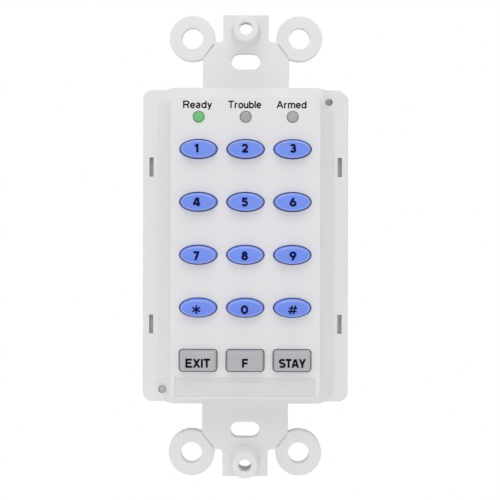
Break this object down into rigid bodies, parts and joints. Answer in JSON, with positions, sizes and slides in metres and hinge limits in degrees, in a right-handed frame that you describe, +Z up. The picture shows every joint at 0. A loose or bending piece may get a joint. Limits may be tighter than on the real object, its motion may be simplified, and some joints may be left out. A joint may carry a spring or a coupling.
{
  "type": "alarm keypad panel",
  "caption": "Wall-mounted alarm keypad for a single-gang box: oval number keys, function keys and status lights on a raised face, on a strap with plaster ears.",
  "frame": {"origin": "centre of the screw pattern, on the wall plane that the back of the strap rests on", "axes": "+Z up along the strap, -Y out of the wall towards the user, +X to the user's right"},
  "size_m": [0.0464, 0.0225, 0.1044],
  "materials": {
    "white_plastic": "fine satin moulded ABS, white",
    "rear_plastic": "satin moulded ABS, light gray",
    "key_blue": "smooth satin silicone, translucent blue",
    "key_gray": "satin silicone, light gray",
    "silicone": "matte translucent silicone",
    "carbon": "matte conductive black",
    "green_lens": "diffusing lens, lit green",
    "gray_lens": "diffusing lens, unlit",
    "led_white": "moulded LED package",
    "board_green": "green solder mask on glass-epoxy laminate",
    "steel": "zinc-plated steel",
    "tin_plate": "bright tin plate",
    "brass": "plain rolled brass",
    "black_plastic": "moulded black epoxy or plastic",
    "nylon": "natural nylon",
    "aluminium_can": "drawn can",
    "resistor_black": "glazed ceramic chip",
    "capacitor_tan": "ceramic chip"
  },
  "bodies": {
    "housing": {"armed_lens": "gray_lens", "backlight_leds": "led_white", "board_screws": "steel", "bus_connector": "nylon", "bus_transceiver": "black_plastic", "chip_capacitors": "capacitor_tan", "chip_leads": "tin_plate", "chip_resistors": "resistor_black", "circuit_board": "board_green", "connector_pins": "tin_plate", "crystal": "steel", "filter_capacitor": "aluminium_can", "front_housing": "white_plastic", "indicator_leds": "led_white", "input_diode": "black_plastic", "jumper_base": "black_plastic", "jumper_pins": "tin_plate", "jumper_shunt": "black_plastic", "keypad_mat": "silicone", "mat_webs": "silicone", "microcontroller": "black_plastic", "ready_lens": "green_lens", "rear_housing": "rear_plastic", "sounder_case": "black_plastic", "sounder_disc": "brass", "sounder_ring": "black_plastic", "trouble_lens": "gray_lens", "voltage_regulator": "black_plastic"},
    "key_1_moving": {"key_1": "key_blue", "contact_pill_1": "carbon"},
    "key_2_moving": {"key_2": "key_blue", "contact_pill_2": "carbon"},
    "key_3_moving": {"key_3": "key_blue", "contact_pill_3": "carbon"},
    "key_4_moving": {"key_4": "key_blue", "contact_pill_4": "carbon"},
    "key_5_moving": {"key_5": "key_blue", "contact_pill_5": "carbon"},
    "key_6_moving": {"key_6": "key_blue", "contact_pill_6": "carbon"},
    "key_7_moving": {"key_7": "key_blue", "contact_pill_7": "carbon"},
    "key_8_moving": {"key_8": "key_blue", "contact_pill_8": "carbon"},
    "key_9_moving": {"key_9": "key_blue", "contact_pill_9": "carbon"},
    "key_0_moving": {"key_0": "key_blue", "contact_pill_0": "carbon"},
    "key_star_moving": {"key_star": "key_blue", "contact_pill_star": "carbon"},
    "key_hash_moving": {"key_hash": "key_blue", "contact_pill_hash": "carbon"},
    "key_exit_moving": {"key_exit": "key_gray", "contact_pill_exit": "carbon"},
    "key_f_moving": {"key_f": "key_gray", "contact_pill_f": "carbon"},
    "key_stay_moving": {"key_stay": "key_gray", "contact_pill_stay": "carbon"}
  },
  "joints": [
    {"name": "key_1_press", "type": "slide", "parent": "housing", "child": "key_1_moving", "axis": [0, 1, 0], "range_m": [0, 0.0009], "stiffness_N_per_m": 900, "springref_m": -0.0005, "deforming": ["mat_webs"]},
    {"name": "key_2_press", "type": "slide", "parent": "housing", "child": "key_2_moving", "axis": [0, 1, 0], "range_m": [0, 0.0009], "stiffness_N_per_m": 900, "springref_m": -0.0005, "deforming": ["mat_webs"]},
    {"name": "key_3_press", "type": "slide", "parent": "housing", "child": "key_3_moving", "axis": [0, 1, 0], "range_m": [0, 0.0009], "stiffness_N_per_m": 900, "springref_m": -0.0005, "deforming": ["mat_webs"]},
    {"name": "key_4_press", "type": "slide", "parent": "housing", "child": "key_4_moving", "axis": [0, 1, 0], "range_m": [0, 0.0009], "stiffness_N_per_m": 900, "springref_m": -0.0005, "deforming": ["mat_webs"]},
    {"name": "key_5_press", "type": "slide", "parent": "housing", "child": "key_5_moving", "axis": [0, 1, 0], "range_m": [0, 0.0009], "stiffness_N_per_m": 900, "springref_m": -0.0005, "deforming": ["mat_webs"]},
    {"name": "key_6_press", "type": "slide", "parent": "housing", "child": "key_6_moving", "axis": [0, 1, 0], "range_m": [0, 0.0009], "stiffness_N_per_m": 900, "springref_m": -0.0005, "deforming": ["mat_webs"]},
    {"name": "key_7_press", "type": "slide", "parent": "housing", "child": "key_7_moving", "axis": [0, 1, 0], "range_m": [0, 0.0009], "stiffness_N_per_m": 900, "springref_m": -0.0005, "deforming": ["mat_webs"]},
    {"name": "key_8_press", "type": "slide", "parent": "housing", "child": "key_8_moving", "axis": [0, 1, 0], "range_m": [0, 0.0009], "stiffness_N_per_m": 900, "springref_m": -0.0005, "deforming": ["mat_webs"]},
    {"name": "key_9_press", "type": "slide", "parent": "housing", "child": "key_9_moving", "axis": [0, 1, 0], "range_m": [0, 0.0009], "stiffness_N_per_m": 900, "springref_m": -0.0005, "deforming": ["mat_webs"]},
    {"name": "key_0_press", "type": "slide", "parent": "housing", "child": "key_0_moving", "axis": [0, 1, 0], "range_m": [0, 0.0009], "stiffness_N_per_m": 900, "springref_m": -0.0005, "deforming": ["mat_webs"]},
    {"name": "key_star_press", "type": "slide", "parent": "housing", "child": "key_star_moving", "axis": [0, 1, 0], "range_m": [0, 0.0009], "stiffness_N_per_m": 900, "springref_m": -0.0005, "deforming": ["mat_webs"]},
    {"name": "key_hash_press", "type": "slide", "parent": "housing", "child": "key_hash_moving", "axis": [0, 1, 0], "range_m": [0, 0.0009], "stiffness_N_per_m": 900, "springref_m": -0.0005, "deforming": ["mat_webs"]},
    {"name": "key_exit_press", "type": "slide", "parent": "housing", "child": "key_exit_moving", "axis": [0, 1, 0], "range_m": [0, 0.0009], "stiffness_N_per_m": 900, "springref_m": -0.0005, "deforming": ["mat_webs"]},
    {"name": "key_f_press", "type": "slide", "parent": "housing", "child": "key_f_moving", "axis": [0, 1, 0], "range_m": [0, 0.0009], "stiffness_N_per_m": 900, "springref_m": -0.0005, "deforming": ["mat_webs"]},
    {"name": "key_stay_press", "type": "slide", "parent": "housing", "child": "key_stay_moving", "axis": [0, 1, 0], "range_m": [0, 0.0009], "stiffness_N_per_m": 900, "springref_m": -0.0005, "deforming": ["mat_webs"]}
  ]
}
